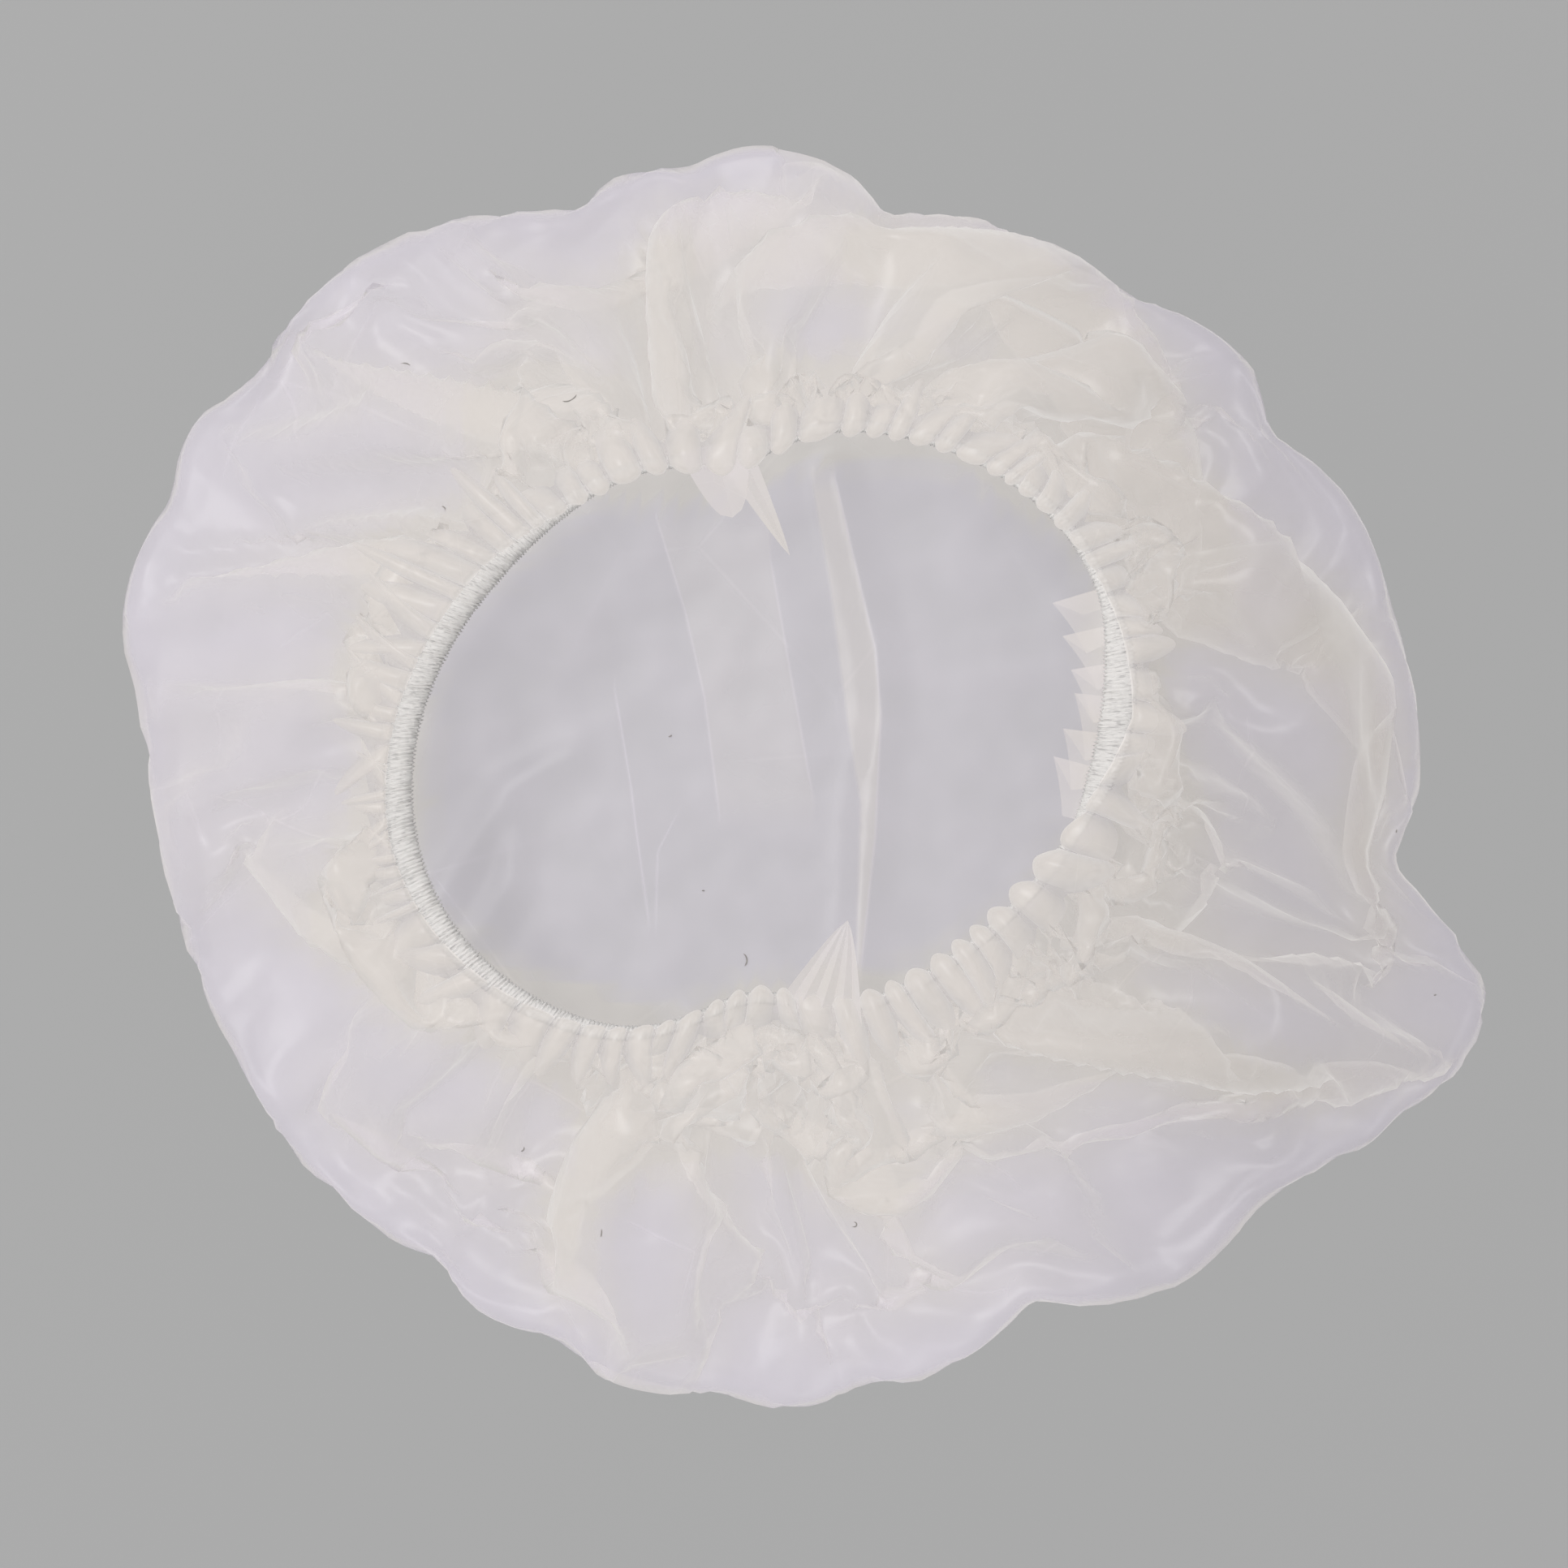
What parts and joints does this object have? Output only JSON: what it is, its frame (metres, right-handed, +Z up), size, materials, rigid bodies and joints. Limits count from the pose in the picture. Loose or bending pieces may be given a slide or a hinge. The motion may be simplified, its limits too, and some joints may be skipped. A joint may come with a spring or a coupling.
{
  "type": "disposable shower cap",
  "caption": "Disposable shower cap of thin frosted film, lying crown down, its open mouth drawn in by an elastic in a ruffled hem.",
  "frame": {"origin": "under the middle of the cap's outline, on the surface that it lies on", "axes": "+Z up out of the mouth, +X to the right and +Y away from the viewer as the cap is seen from above"},
  "size_m": [0.2912, 0.2698, 0.0567],
  "materials": {
    "film": "thin frosted translucent film, one or two layers thick",
    "hem_film": "the same film, gathered many layers thick",
    "elastic": "narrow white covered elastic with a little lint"
  },
  "bodies": {
    "root": {"crown_film": "film", "gathered_hem": "hem_film", "elastic_band": "elastic"}
  },
  "joints": []
}
